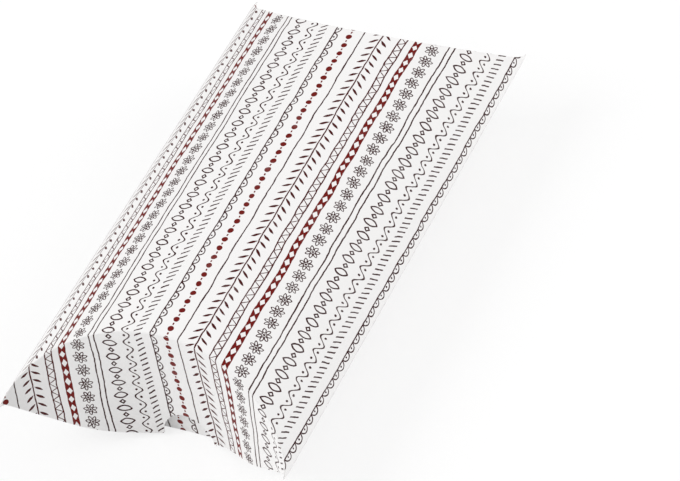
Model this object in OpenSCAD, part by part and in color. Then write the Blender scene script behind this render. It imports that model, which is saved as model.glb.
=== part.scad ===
// Pillow-shaped favor box, folded from one die-cut card blank.
// Four curved creases let two panels bow apart, and a flap closes each end twice over.
// X runs along the box, Y across it, and Z is up from the surface that it lies on.

/* [Blank] */
// Length of the box from corner to corner, in mm
box_len = 243; // [160:1:320]
// Width of one panel on the flat blank, from side fold to side fold
panel_w = 150; // [146:1:200]
// How far the middle of a curved crease sits back from the corners
crease_back = 30; // [18:1:31]
// How far each corner runs out in a point, past the arcs of its creases
corner_point = 2; // [0:0.5:3]
// Thickness of the card
card = 0.4; // [0.3:0.05:0.6]

/* [Flaps] */
// Length of an outer flap at its middle, from the crease to its free edge
outer_len = 58; // [50:1:58]
// How far a closed outer flap springs out at its foot, in degrees
outer_lean = 6; // [4:0.5:10]
// Height of the straight free edge of an inner flap above its crease
inner_len = 38; // [20:1:38]
// Width of the thumb notch between its rounded lips
notch_w = 25; // [16:1:26]
// Depth of the thumb notch
notch_d = 12; // [12:1:16]
// Radius of the rounded lips of the thumb notch
lip_r = 1; // [1:0.5:4]
// How far the notch lies from the middle of the flap
notch_shift = 2.5; // [-6:0.5:6]
// How far the ends of an outer flap stop short of the corners
outer_clip = 3; // [3:0.5:8]
// How far the ends of an inner flap stop short of the corners
inner_clip = 9; // [7:0.5:14]

/* [Side seam] */
// Width of the glue tab
tab_w = 14; // [10:1:20]
// Width of the strip of glue on the tab
glue_w = 8; // [5:1:9]
// Thickness of the strip of glue
glue_t = 0.1; // [0.1:0.05:0.2]

/* [Hidden] */

// Free space between the sheets of two pieces that move apart
clearance = 0.3;
// Flat strips that one bowed panel is made of, an odd number so that it rests on the middle one
facets = 35;
half_box = box_len / 2;
// The arcs of the creases end here, and the points of the corners begin a little above and below
half_len = half_box - corner_point;
point_rise = 4;
half_w = panel_w / 2;

// The crease is an arc on the blank. Its radius and half angle follow from its chord and depth.
crease_r = (half_w * half_w + crease_back * crease_back) / (2 * crease_back);
crease_turn = asin(half_w / crease_r);
// Slope of the bowed panel where it meets the side fold
side_slope = asin(tan(crease_turn));

// Slope of the panel at edge i of its flat strips, and the point of the crease arc found there
function slope(i) = side_slope * (2 * i / facets - 1);
function turn(i) = atan(sin(slope(i)));
function across(i) = crease_r * sin(turn(i));
// The 45 degree plane makes the height of the panel equal to the crease's own rise
function rise(i) = crease_r * cos(turn(i)) - crease_r + crease_back;
// A strip keeps its width on the blank, so its reach in Y is what its rise leaves over
function reach(i) = sqrt(pow(across(i + 1) - across(i), 2) - pow(rise(i + 1) - rise(i), 2));
reaches = [for (i = [0:facets - 1]) reach(i)];
function sum_to(n, i = 0, total = 0) = i >= n ? total : sum_to(n, i + 1, total + reaches[i]);
half_reach = sum_to(facets) / 2;
function side(i) = sum_to(i) - half_reach;

// Height at which the two panels meet at the side folds: the rise of the strip that is rested on
mid_z = rise((facets - 1) / 2);
top_z = 2 * mid_z;
// Half the length of the box along the middle of a panel, with 45 degree crease planes
apex_x = half_len - mid_z;

// Points of the bowed section in Y and Z, moved inwards by a depth, over strip edges a to b
function skin(depth, a = 0, b = facets) = [for (i = [a:b])
    [side(i) - depth * sin(slope(i)), rise(i) - depth * cos(slope(i))]];
function backwards(list) = [for (i = [len(list) - 1:-1:0]) list[i]];

// Strip edge nearest to a place on the blank, counted from the side fold
function edge_at(distance) = len([for (i = [0:facets - 1])
    if ((across(i) + across(i + 1)) / 2 + half_w < distance) i]);

// Section of a sheet that lies between two depths under the outer face of the top panel
module sheet_section(outer, inner, a = 0, b = facets)
    polygon(concat(skin(outer, a, b), backwards(skin(inner, a, b))));

// Draws a section in Y and Z as a long bar in X
module along_box()
    translate([-half_box, 0, mid_z]) rotate([90, 0, 90]) linear_extrude(box_len) children();

// Draws an outline in X and Z as a block right across the box
module across_box() rotate([90, 0, 0]) linear_extrude(2 * panel_w, center = true) children();

// Side view of the upper half, cut at both ends by the crease planes less a set-back
point_x = half_len - point_rise;
module upper_side_view(back = 0)
    polygon([[-half_box + back, mid_z], [-point_x + back, mid_z + point_rise],
        [-apex_x + back, top_z], [apex_x - back, top_z],
        [point_x - back, mid_z + point_rise], [half_box - back, mid_z]]);

// A sheet of the top panel between two depths, trimmed at its ends by the crease planes
module upper_sheet(outer, inner, a = 0, b = facets, back = 0)
    intersection() {
        along_box() sheet_section(outer, inner, a, b);
        across_box() upper_side_view(back);
    }

// Turns the upper half over, onto the lower half
module turned_under() translate([0, 0, top_z]) mirror([0, 0, 1]) children();

// Depth at which a flap's hinge edge clears the sleeve all through its swing
swing_depth = 3 * card + clearance;
// Depth at which its free edge stays just clear of the sheet beside it
rest_depth = card + clearance;

// The room that a flap may fill, a depth in from the outer faces above and below
function arch(depth) = [for (p = skin(depth)) if (p[1] > 0) p];
module room(depth_above, depth_below)
    along_box() polygon(concat(arch(depth_above),
        [for (p = backwards(arch(depth_below))) [p[0], -p[1]]]));

// Both ends of a flap are clipped, so that they stop short of the pointed corners
module clipped(by)
    intersection() {
        translate([0, by - half_reach, 0]) cube([half_len, 2 * (half_reach - by), top_z]);
        children();
    }

// Plan of a closed flap's wall: it is the crease again, seen from above, leaning or not
lean_scale = cos(outer_lean) - sin(outer_lean);
function wall(depth, flat) = [for (i = [0:facets])
    let (angle = atan(flat * tan(slope(i))))
    [flat * (mid_z - rise(i)) - depth * cos(angle), side(i) + depth * sin(angle)]];
module wall_plan(outer, inner, flat = 1)
    polygon(concat(wall(outer, flat), backwards(wall(inner, flat))));

// The thumb notch in Y and Z, its mouth at Z = 0, with rounded lips
notch_r = notch_w / 2 - lip_r;
module notch_outline() {
    translate([0, notch_d - notch_r]) circle(notch_r, $fn = 64);
    translate([-notch_r, -lip_r]) square([2 * notch_r, notch_d - notch_r + lip_r]);
    difference() {
        translate([-notch_w / 2, -lip_r]) square([notch_w, 2 * lip_r]);
        for (s = [-1, 1]) translate([s * notch_w / 2, lip_r]) circle(lip_r, $fn = 48);
    }
}

// Side view of an outer flap: the crease plane above, and the line of its free edge below
foot_x = half_len - mid_z * (1 - 2 * sin(outer_lean));
foot_z = mid_z * (2 - 2 * cos(outer_lean));
module outer_side_view()
    polygon([[half_len, mid_z], [apex_x, top_z], [0, top_z], [0, 0], [foot_x, foot_z]]);

// Front outer flap: hangs from the top panel and leans out at its foot
module outer_flap()
    clipped(outer_clip) intersection() {
        translate([apex_x, 0, top_z]) rotate([0, -outer_lean, 0]) difference() {
            translate([0, 0, -outer_len]) linear_extrude(outer_len)
                wall_plan(0, card, lean_scale);
            translate([-mid_z, notch_shift, -outer_len]) rotate([90, 0, 90])
                linear_extrude(top_z) notch_outline();
        }
        room(swing_depth, rest_depth);
        across_box() outer_side_view();
    }

// Front inner flap: stands on the bottom panel behind the outer flap, cut straight across
module inner_flap()
    clipped(inner_clip) intersection() {
        translate([apex_x, 0, 0]) linear_extrude(inner_len) wall_plan(rest_depth, rest_depth + card);
        room(rest_depth, swing_depth + rest_depth);
    }

module to_rear() mirror([1, 0, 0]) children();

module top_panel() color("whitesmoke") upper_sheet(0, card);

module bottom_panel() color("gainsboro") turned_under() upper_sheet(0, card);

// The tab is folded in from the bottom panel at the left side fold, and lies under the top panel
tab_edge = edge_at(tab_w);
tab_root = 2;
tab_depth = card + glue_t;
tab_back = 8;
module glue_tab() color("white") {
    upper_sheet(tab_depth, tab_depth + card, 0, tab_edge, tab_back);
    turned_under() upper_sheet(card, 2 * card, 0, tab_root, tab_back);
}

glue_start = max(1, edge_at((tab_w - glue_w) / 2));
glue_back = 12;
module glue_line() color("oldlace")
    upper_sheet(card, tab_depth, glue_start, edge_at((tab_w + glue_w) / 2), glue_back);

module front_outer_flap() color("snow") outer_flap();
module front_inner_flap() color("lightgray") inner_flap();
module rear_outer_flap() color("snow") to_rear() outer_flap();
module rear_inner_flap() color("lightgray") to_rear() inner_flap();

top_panel();
bottom_panel();
glue_tab();
glue_line();
front_outer_flap();
front_inner_flap();
rear_outer_flap();
rear_inner_flap();
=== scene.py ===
# %% [markdown]
# # A pillow-shaped favor box in printed card
# The real box is one sheet of card, about 0.4 mm thick, cut and scored in a press. Four curved scores let
# two panels bow apart into a pillow, a glued tab closes one long side, and two flaps close each end.
# This lesson works in the same order: one formula folds the flat sheet into the box, the pieces are cut
# out of that formula, and the print is drawn on the flat sheet, so that its rows run on over every fold.
# All measures are in metres, in the frame of the packed CAD part, which is loaded first.

# %% Load the packed part
import math

import bpy
import numpy as np
from mathutils import Matrix, Vector


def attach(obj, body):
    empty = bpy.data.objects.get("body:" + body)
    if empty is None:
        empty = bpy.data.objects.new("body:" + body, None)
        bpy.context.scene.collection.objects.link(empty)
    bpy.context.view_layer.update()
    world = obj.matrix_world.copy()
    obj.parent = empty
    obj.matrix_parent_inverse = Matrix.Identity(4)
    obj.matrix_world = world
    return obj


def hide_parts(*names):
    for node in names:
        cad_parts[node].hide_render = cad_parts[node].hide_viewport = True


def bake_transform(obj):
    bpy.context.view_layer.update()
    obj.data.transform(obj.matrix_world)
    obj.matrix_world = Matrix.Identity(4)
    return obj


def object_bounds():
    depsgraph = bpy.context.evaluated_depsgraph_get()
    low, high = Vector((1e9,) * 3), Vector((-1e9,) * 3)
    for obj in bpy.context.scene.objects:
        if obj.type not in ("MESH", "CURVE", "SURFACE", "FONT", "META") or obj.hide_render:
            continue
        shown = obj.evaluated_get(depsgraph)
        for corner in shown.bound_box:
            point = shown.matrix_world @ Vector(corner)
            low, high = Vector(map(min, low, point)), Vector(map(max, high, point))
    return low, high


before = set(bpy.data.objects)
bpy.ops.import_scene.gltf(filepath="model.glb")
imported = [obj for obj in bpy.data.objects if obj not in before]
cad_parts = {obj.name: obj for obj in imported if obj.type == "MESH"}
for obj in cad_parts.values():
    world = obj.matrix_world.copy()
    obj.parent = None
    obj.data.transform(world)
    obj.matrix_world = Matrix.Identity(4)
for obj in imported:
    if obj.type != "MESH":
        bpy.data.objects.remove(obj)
cad_low, cad_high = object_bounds()
MM = 0.001
print("size of the part in mm:", [round(c / MM, 2) for c in cad_high - cad_low])

# %% [markdown]
# ## The bowed section
# A sheet can bend but can't stretch, so the shape of a panel follows from its crease. The crease is an arc
# on the flat sheet. Folded, it lies in a plane at 45 degrees, and there the panel rises as much as the arc
# does on the flat sheet. What is left of each step along the arc, by Pythagoras, is the step across the box.
# A circle or an ellipse would look alike, but only this curve lets the rows of print stay straight.
# Close to a corner the card is too stiff to follow its arc, so each corner runs out 2 mm further in a point.

# %% Section of a panel, from the arc of its crease
corner_point = 2 * MM
point_rise = 5 * MM
half_length = (cad_high.x - cad_low.x) / 2 - corner_point
middle_z = (cad_high.z - cad_low.z) / 2
half_blank = 75 * MM
arc_radius = (half_blank**2 + middle_z**2) / (2 * middle_z)
side_fold_ease = 0.5 * MM
right_angle = math.pi / 2


def section_table(count=6001):
    """Columns s, y, h and slope of one panel, for s from one side fold to the other across the flat sheet.
    The sine of the slope is the tangent of the arc's turn; y and h add up its cosine and sine.
    Over the last half millimetre the slope eases to upright, as the side fold is rounded."""
    s = np.linspace(-half_blank, half_blank, count)
    slope = np.arcsin(np.tan(np.arcsin(s / arc_radius)))
    ease = np.clip((np.abs(s) - half_blank + side_fold_ease) / side_fold_ease, 0, 1)
    slope += (np.sign(s) * right_angle - slope) * ease * ease
    step = s[1] - s[0]
    y_steps = (np.cos(slope[1:]) + np.cos(slope[:-1])) / 2 * step
    h_steps = (np.sin(slope[1:]) + np.sin(slope[:-1])) / 2 * step
    y = np.concatenate([[0], np.cumsum(y_steps)])
    h = -np.concatenate([[0], np.cumsum(h_steps)])
    y -= y[-1] / 2
    h -= h[0]
    return s, y, h * middle_z / h.max(), slope


table_s, table_y, table_h, table_slope = section_table()


def section(s):
    """y, height above the side folds, and slope, at a place s across the flat panel."""
    return (
        np.interp(s, table_s, table_y),
        np.interp(s, table_s, table_h),
        np.interp(s, table_s, table_slope),
    )


def crease_x(s):
    """Distance from the middle of the box to the crease, which lies in a plane at 45 degrees. The point at
    the corner adds to it, by the square of the share of its rise that is left."""
    rise = section(s)[1]
    left = np.clip(1 - rise / point_rise, 0, 1)
    return half_length - rise + corner_point * left * left


print("crease radius in mm:", round(arc_radius / MM, 2))
print("bowed width in mm:", round(2 * table_y[-1] / MM, 2), "of", round((cad_high.y - cad_low.y) / MM, 2))

# %% [markdown]
# ## The lean of a closed flap
# A closed outer flap springs out at its foot. The rows of print on the real one show by how much: little in
# its middle, which the thumb pushed home last, and more at its sides. So it turns by less than a right
# angle. One lean for the whole flap would be simpler, but its rows would not end where the real ones do.
# Card can't stretch, so where the lean changes across the flap, its foot is drawn in towards the middle.

# %% Turn of a closed flap at each place across it
middle_lean = math.radians(3.0)
left_lean = math.radians(12.2)
right_lean = math.radians(8.7)
steady_to = 16 * MM
full_lean_at = 45 * MM


def smooth_step(value, start, stop):
    """0 before start, 1 after stop, and three squares less two cubes of the share between them."""
    share = np.clip((value - start) / (stop - start), 0, 1)
    return share * share * (3 - 2 * share)


def lean_at(s):
    """Lean of a closed outer flap at a place across it. It rises at once on the left of the middle, and
    beyond a steady stretch on the right."""
    left = (left_lean - middle_lean) * smooth_step(-s, 0, full_lean_at)
    right = (right_lean - middle_lean) * smooth_step(s, steady_to, full_lean_at)
    return middle_lean + left + right


def closed_turn(s, half):
    """How far a closed flap is turned: a right angle, less the lean of an outer flap."""
    return right_angle - (lean_at(s) if half == "upper" else np.zeros_like(s))


def drawn_in_table():
    """Two columns for each s of the table: how far a sheet that leans more and more is drawn in towards the
    middle, for each unit of the distance past the crease, and for each unit of its square. They follow from
    Pythagoras: what a step along the crease gains in x and z by the growing lean, it loses in y."""
    lean = lean_at(table_s)
    growth = np.gradient(lean, table_s)
    first = np.tan(table_slope) * growth * (np.cos(lean) - np.sin(lean))
    second = growth**2 / (2 * np.cos(table_slope))
    inside = np.abs(table_s) < full_lean_at
    step = table_s[1] - table_s[0]
    sums = [np.cumsum(np.where(inside, column, 0)) * step for column in (first, second)]
    return [column - np.interp(0, table_s, column) for column in sums]


drawn_in = drawn_in_table()
leans = np.degrees(lean_at(np.array([-full_lean_at, 0, full_lean_at])))
print("lean in degrees at the left, in the middle and at the right:", leans.round(1))

# %% [markdown]
# ## Folding the sheet
# Seen from the side, every straight line along the sheet runs level to the crease, turns on a small radius
# and runs down the flap. It stays in one plane, but for the little that a changing lean draws in. So one
# function can place any point of the sheet: it takes the distance past the crease, which is negative on the
# panel, and the place across the panel. A modifier that bends a flat mesh would need a straight crease.

# %% One formula for the whole folded sheet
card = 0.4 * MM
fold_radius = 0.8 * MM


def fold_path(past, turn):
    """x and z steps from the sharp corner, and the angle turned, at a distance past a crease:
    a straight run, an arc of the fold radius through the turn, and a straight run again."""
    reach = fold_radius * np.tan(turn / 2)
    angle = turn * np.clip((past / reach + 1) / 2, 0, 1)
    before = np.minimum(past + reach, 0)
    after = np.maximum(past - reach, 0)
    x = before - reach + fold_radius * np.sin(angle) + after * np.cos(turn)
    z = fold_radius * (np.cos(angle) - 1) - after * np.sin(turn)
    return x, z, angle


def fold_sheet(s, past, end, half, depth=0.0):
    """Points of the folded sheet, in arrays with x, y, z last. end is 1 at the front and -1 at the rear.
    A point is the crease's point plus the fold path, less depth times the sheet's outward normal, which is
    the cross product of the direction along the sheet and the direction along the crease. It leaves out the
    change of the lean along the crease, which would alter the card's thickness by less than 2%."""
    side = 1 if half == "upper" else -1
    y, rise, slope = section(s)
    if half == "upper":
        down = np.maximum(past, 0)
        y = y - down * np.interp(s, table_s, drawn_in[0])
        y = y - down**2 * np.interp(s, table_s, drawn_in[1])
    x_step, z_step, angle = fold_path(past, closed_turn(s, half))
    normal_x = np.sin(angle) * np.cos(slope)
    normal_y = np.sin(slope) * (np.cos(angle) - np.sin(angle))
    normal_z = np.cos(angle) * np.cos(slope)
    length = np.sqrt(normal_x**2 + normal_y**2 + normal_z**2)
    x = crease_x(s) + x_step - depth * normal_x / length
    z = rise + z_step - depth * normal_z / length
    return np.stack([end * x, y - depth * normal_y / length, middle_z + side * z], axis=-1)


def flat_place(s, past, end, half):
    """The same points on the flat sheet, in mm: along it, and across it from the middle of the top panel.
    The bottom panel carries on past the fold at +Y, so its own middle is 150 mm further on."""
    along = end * (crease_x(s) + past)
    across = s if half == "upper" else 2 * half_blank - s
    return np.stack([along, across], axis=-1) / MM


row_ends = fold_sheet(np.full(2, 40 * MM), np.array([0, 43 * MM]), 1, "upper")
foot_drawn_in = (row_ends[0, 1] - row_ends[1, 1]) / MM
print("a row 40 mm from the middle is drawn in at its foot by", round(foot_drawn_in, 2), "mm")

# %% [markdown]
# ## A sheet with thickness
# Solidify could thicken a surface, but the fold formula already gives the sheet at any depth, so the face
# and the back are both worked out exactly, and a rim joins their borders. The face carries the print, and
# the back and the cut edge are bare card, so the mesh has two materials. A map of flat places in mm goes
# with it, and so does each point's distance from the crease, because the print needs both.

# %% Build a closed sheet from a face grid and a back grid
sharp_above = math.radians(50)


def grid_quads(rows, columns):
    """Corner numbers of the quads of a grid whose points are numbered row by row."""
    first = (np.arange(rows - 1)[:, None] * columns + np.arange(columns - 1)).ravel()
    return np.stack([first, first + columns, first + columns + 1, first + 1], axis=1)


def border_ring(rows, columns):
    """Point numbers once round the border of such a grid."""
    numbers = np.arange(rows * columns).reshape(rows, columns)
    return np.concatenate([numbers[:-1, 0], numbers[-1, :-1], numbers[:0:-1, -1], numbers[0, :0:-1]])


def make_sheet(name, face, back, flat, from_crease, materials):
    """A closed mesh: face quads, the same quads turned over on the back, and a rim between the borders.
    It is turned inside out if the cross product at the middle of the face points towards the back."""
    rows, columns = face.shape[:2]
    count = rows * columns
    quads = grid_quads(rows, columns)
    ring = border_ring(rows, columns)
    following = np.roll(ring, -1)
    rim = np.stack([following, ring, ring + count, following + count], axis=1)
    faces = np.concatenate([quads, quads[:, ::-1] + count, rim])
    row, column = rows // 2, columns // 2
    turn = np.cross(face[row + 1, column] - face[row, column], face[row, column + 1] - face[row, column])
    if turn @ (face[row, column] - back[row, column]) < 0:
        faces = faces[:, ::-1]
    points = np.concatenate([face.reshape(-1, 3), back.reshape(-1, 3)])
    mesh = bpy.data.meshes.new(name)
    mesh.from_pydata(points.tolist(), [], faces.tolist())
    for material in materials:
        mesh.materials.append(material)
    mesh.polygons.foreach_set("material_index", (np.arange(len(faces)) >= len(quads)).astype(np.int32))
    loop_points = np.zeros(len(mesh.loops), np.int32)
    mesh.loops.foreach_get("vertex_index", loop_points)
    places = np.tile(flat.reshape(-1, 2), (2, 1))
    layer = mesh.uv_layers.new(name="flat_sheet")
    layer.data.foreach_set("uv", places[loop_points].astype(np.float32).ravel())
    distance = mesh.attributes.new("from_crease", "FLOAT", "POINT")
    distance.data.foreach_set("value", np.tile(from_crease.ravel() / MM, 2).astype(np.float32))
    mesh.shade_smooth()
    mesh.set_sharp_from_angle(angle=sharp_above)
    mesh.validate()
    piece = bpy.data.objects.new(name, mesh)
    bpy.context.scene.collection.objects.link(piece)
    print(name, "has", len(faces), "quads")
    return piece


print("a grid of 3 by 3 points has", len(grid_quads(3, 3)), "quads and a rim of", len(border_ring(3, 3)))

# %% [markdown]
# ## Formulas in a material
# The print is drawn by the material itself, from the flat place of each point. Every motif is a formula for
# the distance to its line, so it stays sharp at any zoom and needs no picture. Math nodes written one by one
# are hard to read, so a small class lets Python's own signs make them: a + b adds one Add node.

# %% A class that turns arithmetic into Math nodes
class Term:
    """A number that varies over the surface, held by one output socket of a node tree."""

    def __init__(self, tree, socket):
        self.tree = tree
        self.socket = socket

    def math(self, operation, *others):
        """Adds one Math node, which takes this term first and then the others, terms or numbers."""
        node = self.tree.nodes.new("ShaderNodeMath")
        node.operation = operation
        for number, value in enumerate((self, *others)):
            if isinstance(value, Term):
                self.tree.links.new(value.socket, node.inputs[number])
            else:
                node.inputs[number].default_value = value
        return Term(self.tree, node.outputs[0])

    def __add__(self, other):
        return self.math("ADD", other)

    def __sub__(self, other):
        return self.math("SUBTRACT", other)

    def __mul__(self, other):
        return self.math("MULTIPLY", other)

    def __neg__(self):
        return self.math("MULTIPLY", -1.0)

    def __abs__(self):
        return self.math("ABSOLUTE")

    def lowest(self, *others):
        """The least of these terms: the union of the shapes whose distances they are."""
        least = self
        for other in others:
            least = least.math("MINIMUM", other)
        return least

    def highest(self, other):
        """The greater of two terms: what the two shapes have in common."""
        return self.math("MAXIMUM", other)

    def clamped(self):
        """This term, kept from 0 to 1."""
        return self.highest(0.0).lowest(1.0)

    def cell(self, pitch, shift=0.0):
        """Distance from the middle of the repeat that the point is in, from minus to plus half a pitch."""
        return (self + (shift + pitch / 2)).math("FLOORED_MODULO", pitch) - pitch / 2

    def length_with(self, other):
        """Length of the vector that these two terms make: the root of the sum of their squares."""
        return (self * self + other * other).math("SQRT")


print("functions of a Term, beside its signs:", [name for name in vars(Term) if name[0] != "_"])

# %% [markdown]
# ## Nodes that every finish needs
# A finish is a Principled shader whose colour and gloss vary with noises. Noise has no seams and no largest
# size, as an image has. Small functions make these nodes, so that each finish reads like a recipe.

# %% Functions that make the nodes of a finish
def new_material(name):
    """An empty material, its node tree and its Principled shader."""
    material = bpy.data.materials.new(name)
    material.use_nodes = True
    tree = material.node_tree
    tree.nodes.clear()
    output = tree.nodes.new("ShaderNodeOutputMaterial")
    shader = tree.nodes.new("ShaderNodeBsdfPrincipled")
    tree.links.new(shader.outputs["BSDF"], output.inputs["Surface"])
    return material, tree, shader


def noise(tree, source, scale, detail=2.0):
    """A noise texture read at a vector socket. Its Color output holds three separate noises."""
    node = tree.nodes.new("ShaderNodeTexNoise")
    node.inputs["Scale"].default_value = scale
    node.inputs["Detail"].default_value = detail
    tree.links.new(source, node.inputs["Vector"])
    return node


def channels(tree, socket):
    """The three numbers in a colour or vector socket, as terms."""
    split = tree.nodes.new("ShaderNodeSeparateXYZ")
    tree.links.new(socket, split.inputs[0])
    return [Term(tree, output) for output in split.outputs]


def blend_colours(tree, share, first, second):
    """A mix of two colours by a term from 0 to 1. Each colour is a socket or three linear numbers."""
    node = tree.nodes.new("ShaderNodeMix")
    node.data_type = "RGBA"
    tree.links.new(share.socket, node.inputs["Factor"])
    for name, colour in (("A", first), ("B", second)):
        socket = [i for i in node.inputs if i.name == name and i.type == "RGBA"][0]
        if isinstance(colour, bpy.types.NodeSocket):
            tree.links.new(colour, socket)
        else:
            socket.default_value = (*colour, 1.0)
    return [o for o in node.outputs if o.type == "RGBA"][0]


print("nodes are made by Blender", bpy.app.version_string)

# %% [markdown]
# ## The rows of print
# The sheet is printed in brick red, in a brown that is almost black, and in a red brown between them. Rows
# of plain ornament run the length of the box. They repeat every 75 mm across the sheet, four times round the
# box, so the print also meets itself at the glued seam. The motifs are common ones: scallops, dots and
# dashes, a laurel sprig, a braced band, a ribbon with lozenges left white, daisies, almonds, a wave, and
# slanted strokes. An image of them would blur close up. A distance of less than nothing is ink here, so the
# lesser of two distances draws both shapes, and the greater draws what they share.

# %% Basic shapes as distances in mm
pen = 0.33
thin_pen = pen * 0.85
hair_pen = pen * 0.6


def almond(along, across, half_long, half_wide):
    """Distance to a pointed oval, where two circles overlap: the farther of the two circles' distances.
    Their radius follows from the oval's half length and half width."""
    radius = (half_wide**2 + half_long**2) / (2 * half_wide)
    return (abs(across) + (radius - half_wide)).length_with(along) - radius


def lozenge(along, across, half_long, half_wide):
    """Distance to a lozenge: the sum of both distances, each as a share of its half diagonal, less one,
    all times the distance from its middle to a side."""
    slant = math.hypot(half_long, half_wide)
    sides = abs(along) * (half_wide / slant) + abs(across) * (half_long / slant)
    return sides - half_long * half_wide / slant


def zigzag(along, across, pitch, height):
    """Distance to a line that goes up and down by a height in each pitch."""
    steep = 4 * height / pitch
    line = abs(along.cell(pitch)) * steep - height
    return abs(across - line) * (1 / math.hypot(1, steep))


print("widths of the line in mm:", [round(2 * half, 2) for half in (pen, thin_pen, hair_pen)])

# %% [markdown]
# ## The motifs
# Each motif is drawn round the middle line of its own row. It repeats along the row, because the place along
# is first folded into one cell as long as the motif's pitch. A loop that places hundreds of small meshes
# could do the same, but they would lie on top of the card, and ink has no height to speak of.

# %% The first five motifs
def scallops(along, across):
    """Half circles that stand side by side on a line, each round a dot."""
    pitch, arch_radius, line_below, dot_above, dot_radius = 4.9, 2.2, 1.1, 0.85, 0.42
    x, y = along.cell(pitch), across + line_below
    arch = (abs(x.length_with(y) - arch_radius) - thin_pen).highest(-y)
    return arch.lowest(abs(y) - thin_pen, x.length_with(y - dot_above) - dot_radius)


def dots_and_dashes(along, across):
    """Solid dots, with a short dash halfway between each two."""
    pitch, dot_radius, half_dash = 5.0, 1.3, 0.55
    x = along.cell(pitch)
    dot = x.length_with(across) - dot_radius
    dash = (-abs(x) + (pitch / 2 - half_dash)).highest(abs(across) - pen)
    return dot.lowest(dash)


def laurel(along, across):
    """A stem, and pairs of solid almond leaves that lean forwards at 52 degrees."""
    pitch, leaf_out, half_leaf, half_leaf_width = 4.1, 2.3, 2.3, 0.54
    lean = math.radians(52)
    stem = abs(across) - pen * 0.9
    x, y = along.cell(pitch), abs(across) - leaf_out
    leaf_along = x * math.cos(lean) + y * math.sin(lean)
    leaf_across = y * math.cos(lean) - x * math.sin(lean)
    return stem.lowest(almond(leaf_along, leaf_across, half_leaf, half_leaf_width))


def braced_band(along, across):
    """Two rails with a zigzag between them."""
    half_band, pitch = 1.5, 4.2
    rails = abs(abs(across) - half_band) - thin_pen
    return rails.lowest(zigzag(along, across, pitch, half_band) - hair_pen)


def ribbon(along, across):
    """A solid band from which lozenges are left out."""
    half_band, pitch, half_long, half_wide = 1.5, 4.5, 1.8, 1.15
    hole = lozenge(along.cell(pitch), across, half_long, half_wide)
    return (abs(across) - half_band).highest(-hole)


first_motifs = (scallops, dots_and_dashes, laurel, braced_band, ribbon)
print("motifs:", [motif.__name__ for motif in first_motifs])

# %% [markdown]
# ## Motifs drawn in outline
# The same formulas draw outlines: without its sign, a distance is nothing on the edge of the shape, and half
# a line's width is taken off that. Petals repeat round their middle as a row repeats along the box.

# %% The other five motifs
def daisies(along, across):
    """Almond petals round a dot. The angle round the middle is folded into one petal's share."""
    pitch, petals, dot_radius = 6.6, 7, 0.5
    petal_out, half_petal, half_petal_width = 1.9, 1.05, 0.58
    x = along.cell(pitch)
    radius = x.length_with(across)
    angle = across.math("ARCTAN2", x).cell(2 * math.pi / petals)
    outwards = radius * angle.math("COSINE") - petal_out
    sideways = radius * angle.math("SINE")
    petal = almond(outwards, sideways, half_petal, half_petal_width)
    return (abs(petal) - hair_pen).lowest(radius - dot_radius)


def two_lines(across):
    """Two thin lines, as far above the middle of the row as below it."""
    half_apart = 1.15
    return abs(abs(across) - half_apart) - thin_pen


def almonds_and_lozenges(along, across):
    """Outlines of almonds that stand across the row, with a small lozenge between each two."""
    pitch, half_tall, half_thin, half_small = 7.0, 2.8, 1.4, 1.0
    x = along.cell(pitch)
    tall = abs(almond(across, x, half_tall, half_thin)) - pen
    small = abs(lozenge(-abs(x) + pitch / 2, across, half_small, half_small)) - pen * 0.9
    return tall.lowest(small)


def wave_and_dots(along, across):
    """A sine line with a dot in each of its hollows. The height above the line, times the cosine of its
    usual slope, is near enough to the distance."""
    pitch, height, dot_off, dot_radius, usual_cosine = 7.6, 1.7, 0.7, 0.55, 0.75
    swing = (along * (2 * math.pi / pitch)).math("SINE")
    line = abs(across - swing * height) * usual_cosine - thin_pen
    dot = along.cell(pitch / 2, -pitch / 4).length_with(across + swing * dot_off) - dot_radius
    return line.lowest(dot)


def slanted_strokes(along, across):
    """Short strokes across the row. Each shifts along by 0.7 mm for each mm across, and the cosine of that
    slant turns a step along the row into a distance."""
    pitch, slant, slant_cosine, half_row = 2.7, 0.7, 0.82, 1.6
    stroke = abs((along + across * slant).cell(pitch)) * slant_cosine - pen * 0.95
    return stroke.highest(abs(across) - half_row)


other_motifs = (daisies, two_lines, almonds_and_lozenges, wave_and_dots, slanted_strokes)
print("motifs:", [motif.__name__ for motif in other_motifs])

# %% [markdown]
# ## The order of the rows
# Rows of one kind never lie side by side, and a heavy row has light ones on both sides, as on ribbon or
# wallpaper. The middles of the rows are kept in one table, so that the whole repeat can be seen at a glance.

# %% Distances to everything in one ink
repeat = 75.0
row_shift = 6.3
row_middles = {
    "scallops": 3.2,
    "dots and dashes": 9.4,
    "single line": 14.8,
    "laurel": 22.6,
    "braced band": 31.4,
    "ribbon": 37.4,
    "daisies": 44.4,
    "double line": 51.2,
    "almonds": 58.3,
    "wave": 65.8,
    "strokes": 71.4,
}


def print_distances(along, across):
    """Distances to everything printed in red, in red brown and in dark brown, at a place in mm."""
    place = (across + row_shift).math("FLOORED_MODULO", repeat)
    row = {name: place - middle for name, middle in row_middles.items()}
    red = ribbon(along, row["ribbon"]).lowest(dots_and_dashes(along, row["dots and dashes"]))
    red_brown = laurel(along, row["laurel"]).lowest(braced_band(along, row["braced band"]))
    dark_brown = scallops(along, row["scallops"]).lowest(
        abs(row["single line"]) - thin_pen,
        daisies(along, row["daisies"]),
        two_lines(row["double line"]),
        almonds_and_lozenges(along, row["almonds"]),
        wave_and_dots(along, row["wave"]),
        slanted_strokes(along, row["strokes"]),
    )
    return red, red_brown, dark_brown


print("rows in one repeat:", len(row_middles))

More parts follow.
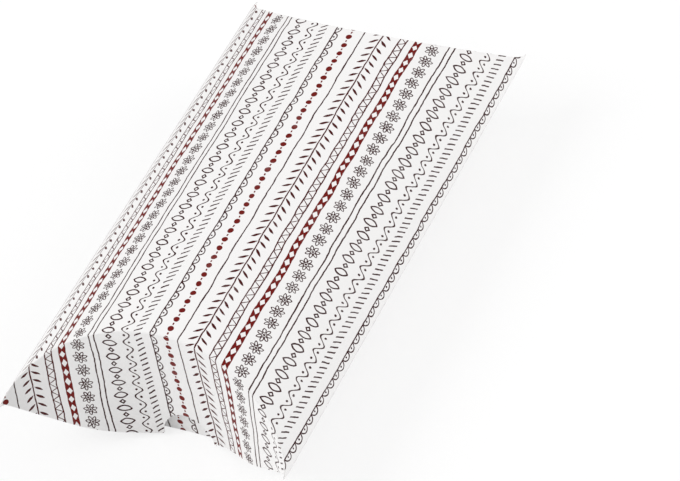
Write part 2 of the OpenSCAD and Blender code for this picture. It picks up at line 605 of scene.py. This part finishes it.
# %% [markdown]
# ## Printed card
# The face of the card has a thin satin coat over its fibres, and the ink lies on it a little glossier. White
# card is never quite even, so it is faintly cloudy. A slow and a quick noise move each place by a few tenths
# of a millimetre before the print is worked out there, and the quick one changes the line's width, as a pen
# does. Along a crease the coat cracks, so the ink breaks up there in fine flecks: a finer noise is cut off
# at a level that is higher close to the crease. All noises read the flat sheet, so they run on over folds.

# %% Finish of the outside
red_ink = (0.165, 0.006, 0.004)
red_brown_ink = (0.070, 0.004, 0.004)
dark_brown_ink = (0.040, 0.005, 0.006)
coated_white = (0.925, 0.915, 0.910)
ink_softness = 0.05
# Scales of the noises, which are read in mm: how many of their cells go into one millimetre
slow_scale = 0.07
quick_scale = 0.42
speckle_scale = 3.4
fibre_scale = 1.9
cloud_scale = 0.045
# How far each noise may move the print in mm, along the sheet and across it
slow_drift = (2.4, 1.6)
quick_drift = (0.5, 0.45)
quick_widening = 0.16
# How steeply near_crease and score fall off, in shares for each mm from the crease
near_crease_fall = 2.4
score_fall = 0.9


def flat_sheet_place(tree):
    """Socket that gives a point's place on the flat sheet, in mm."""
    node = tree.nodes.new("ShaderNodeUVMap")
    node.uv_map = "flat_sheet"
    return node.outputs["UV"]


def add_bump(tree, shader, height, distance):
    """Lets a term from 0 to 1 tilt the surface as if it rose by a distance."""
    node = tree.nodes.new("ShaderNodeBump")
    node.inputs["Distance"].default_value = distance
    node.inputs["Strength"].default_value = 1.0
    tree.links.new(height.socket, node.inputs["Height"])
    tree.links.new(node.outputs["Normal"], shader.inputs["Normal"])


def ink_share(distance, widen, flecks):
    """1 where the ink is and 0 where it isn't, with a soft edge of a few hundredths of a millimetre."""
    return ((-distance + widen) * (1 / ink_softness) + 0.5).clamped() * flecks


def printed_card():
    """White card with three inks. near_crease falls from 1 at a crease to 0 within half a millimetre, and
    score, the rough dent of the crease, within little more than one. Away from a crease nearly every
    speckle keeps its ink, and at the crease only the upper half of them."""
    material, tree, shader = new_material("printed_card")
    flat = flat_sheet_place(tree)
    along, across, _ = channels(tree, flat)
    slow = channels(tree, noise(tree, flat, slow_scale, 1.0).outputs["Color"])
    quick = channels(tree, noise(tree, flat, quick_scale, 1.0).outputs["Color"])
    along = along + (slow[0] - 0.5) * slow_drift[0] + (quick[0] - 0.5) * quick_drift[0]
    across = across + (slow[1] - 0.5) * slow_drift[1] + (quick[1] - 0.5) * quick_drift[1]
    widen = (quick[2] - 0.5) * quick_widening
    crease = tree.nodes.new("ShaderNodeAttribute")
    crease.attribute_name = "from_crease"
    near_crease = (Term(tree, crease.outputs["Fac"]) * -near_crease_fall + 1.0).clamped()
    speckle = Term(tree, noise(tree, flat, speckle_scale, 3.0).outputs["Fac"])
    cracked = (((speckle - 0.5) * 6.0 + near_crease * -2.6) + 2.8).clamped()
    flecks = cracked * ((slow[2] * 0.3 + quick[0] * 0.1 + speckle * 0.2) + 0.72).clamped()
    distances = print_distances(along, across)
    red, red_brown, dark_brown = (ink_share(distance, widen, flecks) for distance in distances)
    fibre = Term(tree, noise(tree, flat, fibre_scale, 4.0).outputs["Fac"])
    clouds = Term(tree, noise(tree, flat, cloud_scale, 3.0).outputs["Fac"])
    colour = blend_colours(tree, clouds, [c * 0.985 for c in coated_white], coated_white)
    for share, ink in ((dark_brown, dark_brown_ink), (red_brown, red_brown_ink), (red, red_ink)):
        colour = blend_colours(tree, share, colour, ink)
    tree.links.new(colour, shader.inputs["Base Color"])
    inked = red.highest(red_brown).highest(dark_brown)
    roughness = inked * -0.08 + (fibre * 0.12 + 0.42)
    tree.links.new(roughness.socket, shader.inputs["Roughness"])
    shader.inputs["Specular IOR Level"].default_value = 0.15
    score = (Term(tree, crease.outputs["Fac"]) * -score_fall + 1.0).clamped()
    add_bump(tree, shader, fibre * 0.5 + inked * 0.25 + score * speckle * 1.4, 0.02 * MM)
    return material


printed = printed_card()
print("nodes in the print:", len(printed.node_tree.nodes))

# %% [markdown]
# ## Bare card
# The back and the cut edge have no coat. They are duller and rougher than the face, and show how the fibres
# lie. Two noises give that: a wide one for clouds and a fine one for fibres, which also tilts the surface.

# %% Finish of the inside and the edges
bare_white = (0.91, 0.905, 0.895)
bare_cloud_scale = 0.06
bare_fibre_scale = 1.4


def bare_card():
    """Matte white card: the mean of the two noises shades it, and the fine one also roughens it."""
    material, tree, shader = new_material("bare_card")
    flat = flat_sheet_place(tree)
    clouds = Term(tree, noise(tree, flat, bare_cloud_scale, 4.0).outputs["Fac"])
    fibre = Term(tree, noise(tree, flat, bare_fibre_scale, 5.0).outputs["Fac"])
    shade = clouds * 0.5 + fibre * 0.5
    paper = blend_colours(tree, shade, [c * 0.96 for c in bare_white], bare_white)
    tree.links.new(paper, shader.inputs["Base Color"])
    tree.links.new((fibre * 0.14 + 0.66).socket, shader.inputs["Roughness"])
    shader.inputs["Specular IOR Level"].default_value = 0.3
    add_bump(tree, shader, fibre, 0.03 * MM)
    return material


bare = bare_card()
print("nodes in the bare card:", len(bare.node_tree.nodes))

# %% [markdown]
# ## The two panels
# A panel runs from crease to crease, and its ends carry the first half of each fold. The grid is close
# near the creases, where the sheet turns on less than a millimetre, and wide along the level middle,
# where lines along the box are straight. An even grid as fine as that would need about thirty times the
# quads. At the -Y side the top panel ends in a raw edge, which lies just short of the bottom panel's fold,
# as on any glued carton.

# %% Top panel and bottom panel
# The grid has a column at each of these distances from a crease
near_folds = np.array([0, 0.1, 0.2, 0.3, 0.4, 0.55, 0.75, 1.0, 1.5, 2.5, 4.0, 6.0, 9.0]) * MM
seam_gap = 0.6 * MM
places_across = 181
places_between = 41


def make_panel(name, half, first_s):
    """A panel as a grid of places across by places along. Each end's columns keep their distance from
    the crease, and the columns between are spread evenly over what is left."""
    across = np.linspace(first_s, half_blank, places_across)[:, None]
    reach = crease_x(across)
    inner = reach - near_folds[-1]
    between = np.linspace(-1, 1, places_between)[None, 1:-1]
    along = np.concatenate([near_folds - reach, between * inner, reach - near_folds[::-1]], axis=1)
    end = np.where(along < 0, -1.0, 1.0)
    past = np.abs(along) - reach
    s = np.broadcast_to(across, along.shape)
    face = fold_sheet(s, past, end, half)
    back = fold_sheet(s, past, end, half, card)
    return make_sheet(name, face, back, flat_place(s, past, end, half), -past, [printed, bare])


top = make_panel("top_panel_card", "upper", -half_blank + seam_gap)
bottom = make_panel("bottom_panel_card", "lower", -half_blank)
for panel, node in ((top, "top_panel"), (bottom, "bottom_panel")):
    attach(panel, "sleeve")
    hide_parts(node)

# %% [markdown]
# ## How far each point of a flap turns
# A flap's edge stays on its curved crease while its middle swings out, so no part of a flap turns as one
# rigid board. At the middle the crease is the hinge, and a point turns as far as the joint does. Elsewhere a
# point has turned fully when it lies in line with its panel. A turn about the hinge keeps a point's distance
# from the hinge and its place across the box, and these two say where on the panel's surface it ends. The
# share of the turn is the angle there, over the turn of the flap's middle.
# The back of the sheet is worked out against the panel's back, so that the card keeps its thickness.

# %% Share of the joint's turn for each point of a flap
next_to_nothing = 0.001 * MM


def turn_share(points, past, half, end, depth):
    """Angle at the hinge between a closed point and its place in line with the panel, over the full turn.
    out and down are the point's distances from the hinge, and the arcsine of the panel's own distance down,
    over the point's reach, is the angle in line."""
    side = 1 if half == "upper" else -1
    known = np.abs(table_s) < half_blank - side_fold_ease
    panel_y = (table_y - depth * np.sin(table_slope))[known]
    panel_h = (table_h - depth * np.cos(table_slope))[known]
    out = end * points[..., 0] - (half_length - middle_z)
    down = middle_z - side * (points[..., 2] - middle_z)
    panel_down = middle_z - np.interp(points[..., 1], panel_y, panel_h)
    reach = np.maximum(np.hypot(out, down), next_to_nothing)
    angle = np.arctan2(down, out) - np.arcsin(np.clip(panel_down / reach, -1, 1))
    full = closed_turn(np.zeros(1), half)
    return np.where(past > next_to_nothing, np.clip(angle / full, 0, 1), 0)


def attach_flap(flap):
    """Bakes the placement of a flap into its mesh."""
    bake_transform(flap)


middle_turn = math.degrees(closed_turn(np.zeros(1), "upper")[0])
print("turn of an outer flap's middle when closed, in degrees:", round(middle_turn, 1))

# %% [markdown]
# ## Outlines of the flaps
# On the flat sheet a flap is a lens: its crease is one arc and its free edge another, which the press cuts
# straight across in the middle. An outer flap also has a half-round notch for a thumb. A Boolean could cut
# it from a plain grid, but would leave thin triangles all along the cut. A grid follows such an edge by
# itself if its columns fan out: each runs from a place on the crease to a place on the free edge, and the
# notch takes as many columns as its length asks for.

# %% Free edges as paths on the flat sheet
outer_length = 58 * MM
inner_length = 38 * MM
lip_radius = 1 * MM
notch_depth = 12 * MM
notch_radius = 11.5 * MM
notch_half = notch_radius + lip_radius
notch_middle = 2.5 * MM
notch_fan_half = 16 * MM
corner_softness = 0.25 * MM
side_columns = 76
plain_columns = 23


def free_edge(s, straight, gap, rounded_from, tip):
    """Distance from the crease to the free edge: the lesser of the straight cut and the full lens less
    a gap, taken smoothly so that their corner is rounded, and brought to the crease in a round tip."""
    full = 2 * section(s)[1] - gap
    least = -corner_softness * np.logaddexp(-full / corner_softness, -straight / corner_softness)
    rounding = np.clip((np.abs(s) - rounded_from) / (tip - rounded_from), 0, 0.998)
    return least * np.sqrt(1 - rounding**2)


def arc(centre, radius, start, stop, count):
    """Points on a circle, from a start to a stop angle in degrees."""
    angle = np.radians(np.linspace(start, stop, count))
    return np.stack([centre[0] + radius * np.cos(angle), centre[1] + radius * np.sin(angle)], axis=1)


def notch_path():
    """The notch from its left lip to its right one: a quarter circle, half a circle and a quarter circle.
    The first number of a point is its place across, the second its distance from the crease."""
    left = arc((-notch_half, outer_length - lip_radius), lip_radius, 90, 0, 7)
    middle = arc((0, outer_length - notch_depth + notch_radius), notch_radius, 180, 360, 29)
    return np.concatenate([left, middle, left[::-1] * (-1, 1)]) + (notch_middle, 0)


def flap_edges(straight, gap, rounded_from, tip, notched):
    """Matching places on the crease and points on the free edge, one pair for each column of the grid. On
    the crease the middle columns are spread by their steps along the edge, the side columns evenly."""
    left = np.linspace(-tip, notch_middle - notch_half, side_columns)
    right = np.linspace(notch_middle + notch_half, tip, side_columns)
    if notched:
        middle = notch_path()[1:-1]
    else:
        inner = np.linspace(left[-1], right[0], plain_columns)[1:-1]
        middle = np.stack([inner, free_edge(inner, straight, gap, rounded_from, tip)], axis=1)
    left_edge = np.stack([left, free_edge(left, straight, gap, rounded_from, tip)], axis=1)
    right_edge = np.stack([right, free_edge(right, straight, gap, rounded_from, tip)], axis=1)
    edge = np.concatenate([left_edge, middle, right_edge])
    middle_and_neighbours = edge[side_columns - 1 : side_columns + len(middle) + 1]
    steps = np.hypot(*np.diff(middle_and_neighbours, axis=0).T)
    spread = np.concatenate([[0], np.cumsum(steps)])
    fan_half = notch_fan_half if notched else notch_half
    spread = notch_middle + (2 * spread / spread[-1] - 1) * fan_half
    crease = np.concatenate([
        -tip + (left + tip) * (spread[0] + tip) / (left[-1] + tip),
        spread[1:-1],
        tip - (tip - right) * (tip - spread[-1]) / (tip - right[0]),
    ])
    return crease, edge


print("points along the notch:", len(notch_path()))

# %% [markdown]
# ## Four flaps
# Both ends are alike. The outer flap hangs from the top panel and reaches almost to the fold below it. The
# inner one stands on the bottom panel behind it, upright, and is shorter, so that both can swing out in
# step. A mirrored copy of the front ones would be inside out and have its print mirrored too, so each of
# the four is worked out in its own place on the sheet.

# %% Two flaps at each end
# Shares of the way down a flap, which are closer together by its crease
down_flap = np.concatenate([np.linspace(0, 0.016, 6), np.linspace(0.016, 1, 45)[1:]])


def make_flap(name, node, half, end, straight, gap, rounded_from, tip, notched):
    """A flap as a grid of steps down it by columns across it. A column bends over towards its place on the
    free edge with the square of its share, so it leaves the crease squarely."""
    crease, edge = flap_edges(straight, gap, rounded_from, tip, notched)
    share = down_flap[:, None]
    s = crease + (edge[:, 0] - crease) * share**2
    past = edge[:, 1] * share
    face = fold_sheet(s, past, end, half)
    back = fold_sheet(s, past, end, half, card)
    flap = make_sheet(name, face, back, flat_place(s, past, end, half), past, [printed, bare])
    shares = [turn_share(face, past, half, end, 0.0), turn_share(back, past, half, end, card)]
    attach_flap(flap)
    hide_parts(node)


for end, where in ((1, "front"), (-1, "rear")):
    make_flap(
        f"{where}_outer_flap_card", f"{where}_outer_flap", "upper", end,
        straight=outer_length, gap=0.8 * MM, rounded_from=71 * MM, tip=74 * MM, notched=True,
    )
    make_flap(
        f"{where}_inner_flap_card", f"{where}_inner_flap", "lower", end,
        straight=inner_length, gap=7 * MM, rounded_from=62 * MM, tip=68 * MM, notched=False,
    )

# %% [markdown]
# ## The glued seam
# The bottom panel carries on past its fold at -Y as a tab 14 mm wide, which lies under the top panel and
# is stuck to it by a strip of glue. Nobody sees it while the box is shut, but with the flaps open it shows
# inside. Flat strips would cut through the bowed panel, so both are slices of the same folded sheet, taken
# deeper down.

# %% Glue tab
tab_width = 14 * MM
tab_back = 8 * MM
glue_thickness = 0.1 * MM
# Two waves make an end ragged. Over each of these lengths one of them turns by one radian.
ragged_waves = (1.3 * MM, 0.7 * MM)


def under_top(name, places, back_off, depths, thickness, materials, ragged=0.0):
    """A strip under the top panel. places are distances from the seam's fold, depths how deep it lies
    at each. Its ends stop short of the crease by back_off, and ragged is the height of the sine waves
    that are added to them."""
    s = (places - half_blank)[:, None]
    reach = crease_x(s) - back_off
    for wave in ragged_waves:
        reach = reach + ragged * np.sin(places[:, None] / wave)
    along = np.linspace(-1, 1, 121)[None, :] * reach
    end = np.where(along < 0, -1.0, 1.0)
    past = np.abs(along) - crease_x(s)
    s = np.broadcast_to(s, along.shape)
    depth = depths[:, None]
    face = fold_sheet(s, past, end, "upper", depth)
    back = fold_sheet(s, past, end, "upper", depth + thickness)
    flat = np.stack([along, 4 * half_blank + s], axis=-1) / MM
    return make_sheet(name, face, back, flat, -past, materials)


near_seam = np.linspace(0, seam_gap, 9)
tab_places = np.concatenate([near_seam, np.linspace(seam_gap, tab_width, 41)[1:]])
tab_depths = (card + glue_thickness) * smooth_step(tab_places, 0, seam_gap)
tab = under_top("glue_tab_card", tab_places, tab_back, tab_depths, card, [bare, bare])
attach(tab, "sleeve")
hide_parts("glue_tab")

# %% [markdown]
# ## Dried glue
# A strip of white glue dries to a dull cream film, uneven in its gloss and ragged at its ends. It has no
# print to line up with, so one noise on its Object coordinates is enough for its colour and its gloss.

# %% Glue strip and its finish
glue_from = 3 * MM
glue_to = 11 * MM
glue_back = 12 * MM
glue_ragged = 0.5 * MM
thin_glue = (0.78, 0.74, 0.62)
thick_glue = (0.86, 0.83, 0.74)
cells_in_a_metre = 600.0


def dried_glue():
    """Cream film: one noise blends its two colours, varies its roughness and tilts its surface."""
    material, tree, shader = new_material("dried_glue")
    place = tree.nodes.new("ShaderNodeTexCoord")
    cloud = Term(tree, noise(tree, place.outputs["Object"], cells_in_a_metre, 3.0).outputs["Fac"])
    colour = blend_colours(tree, cloud, thin_glue, thick_glue)
    tree.links.new(colour, shader.inputs["Base Color"])
    tree.links.new((cloud * 0.25 + 0.4).socket, shader.inputs["Roughness"])
    add_bump(tree, shader, cloud, 0.05 * MM)
    return material


glue = dried_glue()
glue_places = np.linspace(glue_from, glue_to, 33)
glue_depths = np.full(len(glue_places), card)
strip = under_top(
    "glue_strip", glue_places, glue_back, glue_depths, glue_thickness, [glue, glue], glue_ragged
)
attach(strip, "sleeve")
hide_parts("glue_line")

# %% [markdown]
# ## Floor and world
# The box is shown on white. The world gives most of the light, from all sides alike. The floor is white and
# keeps the shadow, but rays from the camera see part of its white as a glow that no shadow dims, and see the
# world as pure white. So the background stays clean, and neither the glow nor the pure white sheds any
# light on the box. A cut-out box on a flat white image would have no soft shadow under it.

# %% Floor and world
world_light = 0.57
floor_glow = 0.78
floor_white = 0.9
floor_half = 4.0


def add_floor():
    """A white square. To the camera it glows by floor_glow and is white by the rest; to all other rays it
    is plain white. It is clear from below, so that views from there show the bottom of the box."""
    material, tree, shader = new_material("white_floor")
    light_path = tree.nodes.new("ShaderNodeLightPath")
    geometry = tree.nodes.new("ShaderNodeNewGeometry")
    seen = Term(tree, light_path.outputs["Is Camera Ray"])
    colour = blend_colours(tree, seen, [floor_white] * 3, [1 - floor_glow] * 3)
    tree.links.new(colour, shader.inputs["Base Color"])
    shader.inputs["Roughness"].default_value = 0.8
    shader.inputs["Specular IOR Level"].default_value = 0.1
    shader.inputs["Emission Color"].default_value = (1, 1, 1, 1)
    tree.links.new((seen * floor_glow).socket, shader.inputs["Emission Strength"])
    clear = tree.nodes.new("ShaderNodeBsdfTransparent")
    choose = tree.nodes.new("ShaderNodeMixShader")
    output = [n for n in tree.nodes if n.type == "OUTPUT_MATERIAL"][0]
    tree.links.new(geometry.outputs["Backfacing"], choose.inputs["Fac"])
    tree.links.new(shader.outputs["BSDF"], choose.inputs[1])
    tree.links.new(clear.outputs["BSDF"], choose.inputs[2])
    tree.links.new(choose.outputs["Shader"], output.inputs["Surface"])
    signs = ((-1, -1), (1, -1), (1, 1), (-1, 1))
    corners = [(x * floor_half, y * floor_half, 0) for x, y in signs]
    mesh = bpy.data.meshes.new("floor")
    mesh.from_pydata(corners, [], [(0, 1, 2, 3)])
    mesh.materials.append(material)
    floor = bpy.data.objects.new("floor", mesh)
    bpy.context.scene.collection.objects.link(floor)
    print("floor in metres:", 2 * floor_half, "by", 2 * floor_half)


def light_world():
    """A white world whose strength is 1 to the camera and world_light to all other rays."""
    world = bpy.data.worlds.new("soft_white")
    bpy.context.scene.world = world
    world.use_nodes = True
    tree = world.node_tree
    background = [n for n in tree.nodes if n.type == "BACKGROUND"][0]
    background.inputs["Color"].default_value = (1, 1, 1, 1)
    light_path = tree.nodes.new("ShaderNodeLightPath")
    seen = Term(tree, light_path.outputs["Is Camera Ray"])
    strength = seen * (1 - world_light) + world_light
    tree.links.new(strength.socket, background.inputs["Strength"])


add_floor()
light_world()

# %% [markdown]
# ## Two wide lamps
# An even light alone would hide the shape of a white box. A disk over a metre wide casts a shadow so soft
# that it has no edge, where a small lamp would draw one on the floor. The lamp at the front left makes one
# half of the near end lighter than the other, and a weaker one behind on the right reaches the side strip
# that the first one misses.

# %% Lamps at the front left and at the back right
lamp_width = 1.2
front_left_place = (0.90, -1.35, 1.48)
front_left_watts = 21.8
back_right_place = (-1.15, 1.45, 0.95)
back_right_watts = 16.6
box_middle = (0, 0, middle_z)


def add_lamp(name, place, watts):
    """A disk of light at a place, turned towards the middle of the box."""
    light = bpy.data.lights.new(name, "AREA")
    light.shape = "DISK"
    light.size = lamp_width
    light.energy = watts
    lamp = bpy.data.objects.new(name, light)
    direction = Vector(box_middle) - Vector(place)
    turn = direction.to_track_quat("-Z", "Y").to_matrix().to_4x4()
    lamp.matrix_world = Matrix.Translation(place) @ turn
    bpy.context.scene.collection.objects.link(lamp)
    print(name, "is", round(direction.length, 2), "m from the box")


add_lamp("front_left_lamp", front_left_place, front_left_watts)
add_lamp("back_right_lamp", back_right_place, back_right_watts)

# %% [markdown]
# ## Camera
# The photograph was taken with a long lens from above the front corner. Its place, direction and lens were
# worked out from points on the box whose real places are known: the ends of the rows and the four corners.
# They could be set by eye too, but then the rows would run together by another angle than they do there.

# %% Camera at the photograph's angle
camera_place = (0.89369, 0.66908, 1.15537)
camera_forward = Vector((-0.568905, -0.405012, -0.71576))
camera_up = Vector((-0.709279, -0.198884, 0.676291))
lens_in_pixels = 3828
image_width = 680
sensor_width = 36.0


def add_camera():
    """A camera without depth of field. Its axes, right, up and back, are the columns of its turn."""
    data = bpy.data.cameras.new("photo_camera")
    data.sensor_fit = "HORIZONTAL"
    data.sensor_width = sensor_width
    data.lens = sensor_width * (lens_in_pixels / image_width)
    data.clip_start = 0.05
    data.clip_end = 50.0
    camera = bpy.data.objects.new("photo_camera", data)
    right = camera_forward.cross(camera_up).normalized()
    up = right.cross(camera_forward).normalized()
    turn = Matrix((right, up, -camera_forward.normalized())).transposed()
    camera.matrix_world = Matrix.Translation(camera_place) @ turn.to_4x4()
    bpy.context.scene.collection.objects.link(camera)
    bpy.context.scene.camera = camera
    print("lens in mm:", round(data.lens, 1))


add_camera()
bpy.context.scene.view_settings.view_transform = "Standard"

# %% [markdown]
